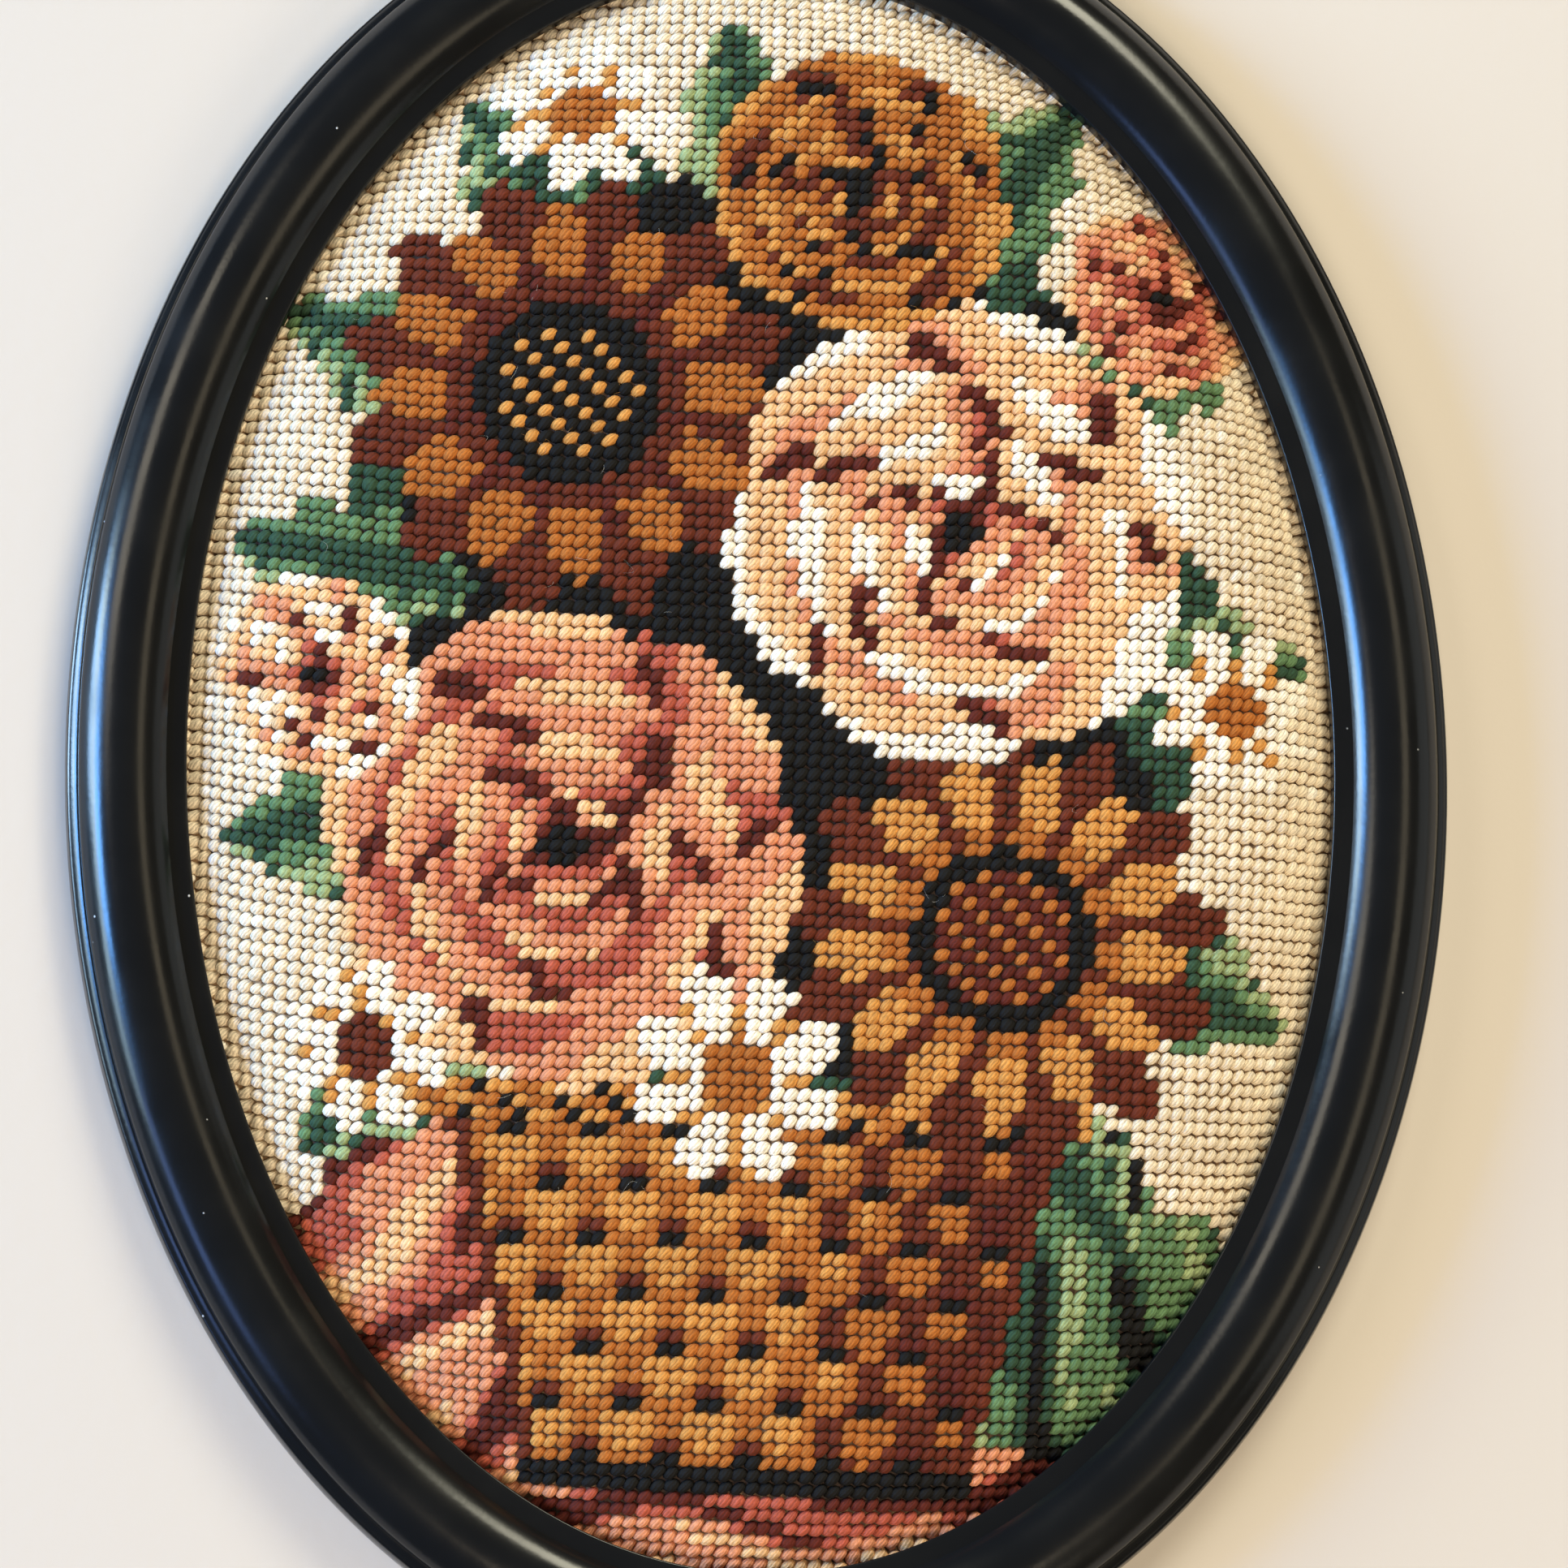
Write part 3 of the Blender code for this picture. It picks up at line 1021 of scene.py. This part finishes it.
def wool(row, dye):
    """Plied wool: rounded plies along the stitch, fine fibres on them and a tone of its own."""
    material, tree, shader = begin_material(
        f"{row['name']}_wool", Roughness=0.85, Sheen_Weight=row["bloom"], Sheen_Roughness=0.45,
        Sheen_Tint=(*(part**0.5 for part in dye), 1.0), Specular_IOR_Level=0.25)
    twisted = add_node(tree, "ShaderNodeMapping", inputs={
        "Vector": cloth_place(tree), "Rotation": (0.0, 0.0, math.radians(-4))}).outputs["Vector"]
    waves = add_node(tree, "ShaderNodeTexWave", {"bands_direction": "Y", "wave_profile": "SIN"}, {
        "Vector": twisted, "Scale": 1.7, "Distortion": 2.4, "Detail": 1.0, "Detail Scale": 1.5})
    plies = waves.outputs["Fac"]
    fibres = noise(tree, stretch(tree, twisted, (2.4, 11.0, 1.0)), 1.0, 5.0, 0.7)
    # Painted shade: away from its crest, down its sides, a stitch is darker and warmer.
    painted_side_shade = tuple(part**SIDE_SHADE_POWER * tint for part, tint in zip(dye, SIDE_SHADE_TINT))
    body = mix(tree, ramp(tree, own_value(tree, "crest"), ((0.0, 0.0), (0.75, 1.0))), painted_side_shade, dye)
    toned = add_node(tree, "ShaderNodeHueSaturation", inputs={
        "Color": body, "Value": own_value(tree, "tone")})
    # Painted shade: the wool is darker in the grooves between its plies.
    groove_shade = ramp(tree, plies, ((0.0, 0.70), (0.5, 1.0)))
    strands = ramp(tree, fibres, ((0.36, 0.66), (0.62, 1.10)))
    groove_shaded = multiply(tree, toned.outputs["Color"], groove_shade)
    tree.links.new(multiply(tree, groove_shaded, strands), shader.inputs["Base Color"])
    raise_relief(tree, shader, (plies, 0.6, 0.00012), (fibres, 0.35, 0.00015))
    return material


def repeated(template, count, size, first=0):
    """The faces of one form for each of its copies, which have their points one after another."""
    starts = [first + copy * size for copy in range(count)]
    return [tuple(start + corner for corner in face) for start in starts for face in template]


def hairs(cloth, canvas, starts, kind, chance):
    """Points and faces of thin three-sided hairs that arch over the wool. Starts are counted in threads."""
    count = len(starts)
    headings = chance.uniform(0, 2 * math.pi, count)
    lengths = chance.uniform(*kind["length"], count)
    bends = chance.normal(0.0, kind["bend"], count)
    rises = chance.uniform(*kind["rise"], count)
    way = np.array(kind["steps"])
    ahead = np.stack([np.cos(headings), np.sin(headings)], axis=-1)
    aside = np.stack([-ahead[:, 1], ahead[:, 0]], axis=-1)
    run = lengths[:, None] * way
    swerve = (bends * lengths)[:, None] * np.sin(math.pi * way * HAIR_SWERVE)
    path = starts[:, None, :] + ahead[:, None, :] * run[..., None] + aside[:, None, :] * swerve[..., None]
    lift = HAIR_ROOT + rises[:, None] * np.sin(math.pi * way)
    rings = []
    for side, up in HAIR_SECTION:
        place = (path + aside[:, None, :] * side * kind["thick"] / canvas.mesh) * canvas.mesh
        rings.append(cloth.lifted(place[..., 0], place[..., 1], lift + up * kind["thick"]))
    points = np.stack(rings, axis=2).reshape(count, -1, 3)
    faces = [(2, 1, 0)]
    for step in range(len(way) - 1):
        for side in range(3):
            beside = (side + 1) % 3
            faces.append((3 * step + side, 3 * step + beside, 3 * step + 3 + beside, 3 * step + 3 + side))
    last = 3 * (len(way) - 1)
    faces.append((last, last + 1, last + 2))
    return points, faces


def fuzz(cloth, canvas, settings, cells, chance):
    """Loose fibres of the wool, on most of the stitches."""
    chosen = cells[chance.uniform(size=len(cells)) < FUZZ_SHARE]
    starts = chosen + chance.uniform(*FUZZ_PLACES, (len(chosen), 2))
    return hairs(cloth, canvas, starts + wander(starts, settings.drift), FUZZ, chance)


def add_stitches(name, points, crest, tone, chance, material, loose):
    """One piece of joined stitches of the same yarn, with its loose fibres."""
    along, _, template = stitch_template()
    count, size = points.shape[:2]
    around = len(STITCH_SECTION)
    turn = np.array([0.5] + [step / (around - 1) for step in range(around)] * len(STITCH_RINGS) + [0.5])
    own = np.stack([along * PLIES_LENGTH, turn], axis=-1)
    corners = np.concatenate([np.asarray(face) for face in template])
    offset = chance.uniform(0.0, PLIES_SPREAD, (count, 1, 2))
    uv = (own[corners][None, :, :] + offset).reshape(-1, 2)
    faces = repeated(template, count, size)
    hair_points, hair_template = loose
    hair_count, hair_size = hair_points.shape[:2]
    hair_corners = hair_count * sum(len(face) for face in hair_template)
    everything = np.concatenate([points.reshape(-1, 3), hair_points.reshape(-1, 3)])
    faces += repeated(hair_template, hair_count, hair_size, count * size)
    uv = np.concatenate([uv, np.full((hair_corners, 2), 0.5)])
    # Loose fibres take the painted highlight tone, and a full crest so that they get no painted side shade.
    values = {"tone": np.concatenate([np.repeat(tone, size), np.full(hair_count * hair_size, FUZZ_HIGHLIGHT_TONE)]),
              "crest": np.concatenate([np.tile(crest, count), np.ones(hair_count * hair_size)])}
    item = add_mesh(name, everything, faces, uv=uv, values=values)
    item.data.shade_smooth()
    item.data.materials.append(material)
    return item


def add_lint(cloth, canvas, chance):
    """Curled hairs of pale lint."""
    turn = chance.uniform(0, 2 * math.pi, LINT_HAIRS)
    reach = LINT_REACH * np.sqrt(chance.uniform(0.0, 1.0, LINT_HAIRS))
    across = cloth.flat_half_width * reach * np.cos(turn)
    along = cloth.flat_half_height * reach * np.sin(turn)
    points, template = hairs(cloth, canvas, np.stack([across, along], axis=-1) / canvas.mesh, LINT, chance)
    item = add_mesh("lint", points.reshape(-1, 3), repeated(template, *points.shape[:2]))
    item.data.shade_smooth()
    material, _, shader = begin_material("pale_lint", Roughness=0.8, Sheen_Weight=0.4)
    shader.inputs["Base Color"].default_value = (*srgb(LINT_COLOUR), 1.0)
    item.data.materials.append(material)
    return item


def choose_yarns(cells, mesh, chance):
    """The number of the yarn of each stitch, with a few of another yarn strayed into the ground."""
    middle = (cells + 0.5) * mesh
    chart = work_picture(middle[:, 0], middle[:, 1])
    stray = (chart == YARN_NAMES.index(GROUND)) & (chance.uniform(size=len(cells)) < STRAY_SHARE)
    paint(chart, stray, STRAY)
    return chart


def choose_tones(cells, chance):
    """How light each stitch is next to the others of its yarn."""
    runs = chance.normal(0.0, RUN_TONE, MOST_RUNS)[cells[:, 1], cells[:, 0] // RUN_OF_WOOL]
    return 1.0 + runs + chance.normal(0.0, STITCH_TONE, len(cells))


class NEEDLEPOINT_OT_stitches(bpy.types.Operator):
    """Work the picture in tent stitch, one piece or more for each wool"""

    bl_idname = "needlepoint.stitches"
    bl_label = "Wool Stitches"

    def execute(self, context):
        canvas = context.scene.needlepoint_canvas
        settings = context.scene.needlepoint_stitches
        colours = context.scene.needlepoint_wools
        cloth = StretchedCanvas()
        cells = stitch_cells(cloth, canvas, settings)
        chance = np.random.default_rng(CHANCE_SEED)
        chart = choose_yarns(cells, canvas.mesh, chance)
        points, crest = stitch_points(cloth, canvas, settings, cells, chance)
        tone = choose_tones(cells, chance)
        for index, row in enumerate(YARNS):
            mine = np.flatnonzero(chart == index)
            if not len(mine):
                continue
            material = wool(row, getattr(colours, row["name"]))
            parts = math.ceil(len(mine) / MOST_STITCHES)
            for part, chosen in enumerate(np.array_split(mine, parts)):
                name = f"stitches_{row['name']}" + (f"_{part + 1}" if parts > 1 else "")
                loose = fuzz(cloth, canvas, settings, cells[chosen], chance)
                item = add_stitches(name, points[chosen], crest, tone[chosen], chance, material, loose)
                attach(item, "root")
        lint = add_lint(cloth, canvas, chance)
        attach(lint, "root")

        return {"FINISHED"}


# ------------------------------------------------------------------------------------------- board


def finish_board(settings):
    """Pressed board: a mottled brown with short pale and dark fibres."""
    material, tree, shader = begin_material("pressed_board", Roughness=0.88)
    place = own_place(tree)
    fibres = noise(tree, stretch(tree, place, (900.0, 260.0, 600.0)), 1.0, 4.0, 0.65)
    patches = ramp(tree, noise(tree, place, 45.0, 5.0), ((0.3, 0.82), (0.7, 1.0)))
    flecks = ramp(tree, fibres, ((0.32, 0.62), (0.5, 0.95), (0.68, 1.12)))
    toned = multiply(tree, settings.colour, patches)
    tree.links.new(multiply(tree, toned, flecks), shader.inputs["Base Color"])
    raise_relief(tree, shader, (fibres, 0.3, 0.0002))
    return material


class NEEDLEPOINT_OT_board(bpy.types.Operator):
    """Give the backing board its finish"""

    bl_idname = "needlepoint.board"
    bl_label = "Backing Board"

    def execute(self, context):
        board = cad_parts["backing_board"]
        material = finish_board(context.scene.needlepoint_board)
        for slot in board.material_slots:
            slot.material = material
        return {"FINISHED"}


# ------------------------------------------------------------------------------------------- stage


# The floor is a hair below the panel's back. The camera points at this height over it.
FLOOR_SIZE = 30.0
FLOOR_LEVEL = -0.0003
AIM_LEVEL = 0.01


def add_floor(settings):
    lay_aside_selection()
    bpy.ops.mesh.primitive_plane_add(size=FLOOR_SIZE, location=(0.0, 0.0, FLOOR_LEVEL))
    floor = bpy.context.object
    floor.name = "floor"
    material, tree, shader = begin_material("pale_floor", Roughness=0.75)
    shader.inputs["Base Color"].default_value = (*settings.floor, 1.0)
    raise_relief(tree, shader, (noise(tree, own_place(tree), 260.0, 3.0), 0.12, 0.0006))
    floor.data.materials.append(material)


def add_light(row, brightness):
    data = bpy.data.lights.new(row["name"], "AREA")
    data.shape = "RECTANGLE"
    data.size, data.size_y = row["size"]
    data.energy = row["power"] * brightness
    data.color = row["colour"]
    item = bpy.data.objects.new(row["name"], data)
    turn, steep = math.radians(row["turn"]), math.radians(row["steep"])
    heading = (math.cos(steep) * math.cos(turn), math.cos(steep) * math.sin(turn), math.sin(steep))
    place = LIGHT_DISTANCE * Vector(heading)
    item.location = place
    item.rotation_euler = (-place).to_track_quat("-Z", "Y").to_euler()
    bpy.context.scene.collection.objects.link(item)


def add_camera(settings):
    """A camera that looks down on the face, with the picture's top kept up."""
    data = bpy.data.cameras.new("camera")
    data.lens = settings.lens
    back = Vector((-math.sin(settings.left), -math.sin(settings.below), 1.0))
    back.z = math.sqrt(1.0 - back.x**2 - back.y**2)
    right = Vector((0.0, 1.0, 0.0)).cross(back).normalized()
    up = back.cross(right)
    turn = Matrix((right, up, back)).transposed() @ Matrix.Rotation(-settings.roll, 3, "Z")
    item = bpy.data.objects.new("camera", data)
    aim = Vector((settings.aim_x, settings.aim_y, AIM_LEVEL))
    item.matrix_world = Matrix.Translation(aim + back * settings.camera_distance) @ turn.to_4x4()
    bpy.context.scene.collection.objects.link(item)
    bpy.context.scene.camera = item


class NEEDLEPOINT_OT_stage(bpy.types.Operator):
    """Set the floor, the lights, the room and the camera"""

    bl_idname = "needlepoint.stage"
    bl_label = "Stage"

    def execute(self, context):
        settings = context.scene.needlepoint_stage
        add_floor(settings)
        for row in LIGHTS:
            add_light(row, settings.brightness)
        world = bpy.data.worlds.new("room")
        world.use_nodes = True
        background = world.node_tree.nodes["Background"]
        background.inputs["Color"].default_value = (*settings.room, 1.0)
        background.inputs["Strength"].default_value = settings.brightness
        context.scene.world = world
        context.scene.view_settings.view_transform = "Standard"
        add_camera(settings)
        return {"FINISHED"}


# ----------------------------------------------------------------------------------------- add-on


OPERATORS = (
    NEEDLEPOINT_OT_moulding,
    NEEDLEPOINT_OT_canvas,
    NEEDLEPOINT_OT_stitches,
    NEEDLEPOINT_OT_board,
    NEEDLEPOINT_OT_stage,
)
SETTINGS = {
    "needlepoint_moulding": MouldingSettings,
    "needlepoint_canvas": CanvasSettings,
    "needlepoint_stitches": StitchSettings,
    "needlepoint_wools": WoolSettings,
    "needlepoint_board": BoardSettings,
    "needlepoint_stage": StageSettings,
}


class NEEDLEPOINT_PT_panel(bpy.types.Panel):
    """The steps of the panel and the sizes and colours that they use"""

    bl_label = "Needlepoint"
    bl_space_type = "VIEW_3D"
    bl_region_type = "UI"
    bl_category = "Needlepoint"

    def draw(self, context):
        for operator in OPERATORS:
            self.layout.operator(operator.bl_idname)
        for name, group in SETTINGS.items():
            box = self.layout.box()
            box.label(text=name.replace("_", " ").capitalize())
            for key in group.__annotations__:
                box.prop(getattr(context.scene, name), key)


def register():
    for group in SETTINGS.values():
        bpy.utils.register_class(group)
    for name, group in SETTINGS.items():
        setattr(bpy.types.Scene, name, PointerProperty(type=group))
    for item in (*OPERATORS, NEEDLEPOINT_PT_panel):
        bpy.utils.register_class(item)


def unregister():
    for item in reversed((*OPERATORS, NEEDLEPOINT_PT_panel)):
        bpy.utils.unregister_class(item)
    for name in SETTINGS:
        delattr(bpy.types.Scene, name)
    for group in reversed(SETTINGS.values()):
        bpy.utils.unregister_class(group)


def main():
    register()
    bpy.ops.needlepoint.moulding()
    bpy.ops.needlepoint.canvas()
    bpy.ops.needlepoint.stitches()
    bpy.ops.needlepoint.board()
    bpy.ops.needlepoint.stage()


if __name__ == "__main__":
    main()
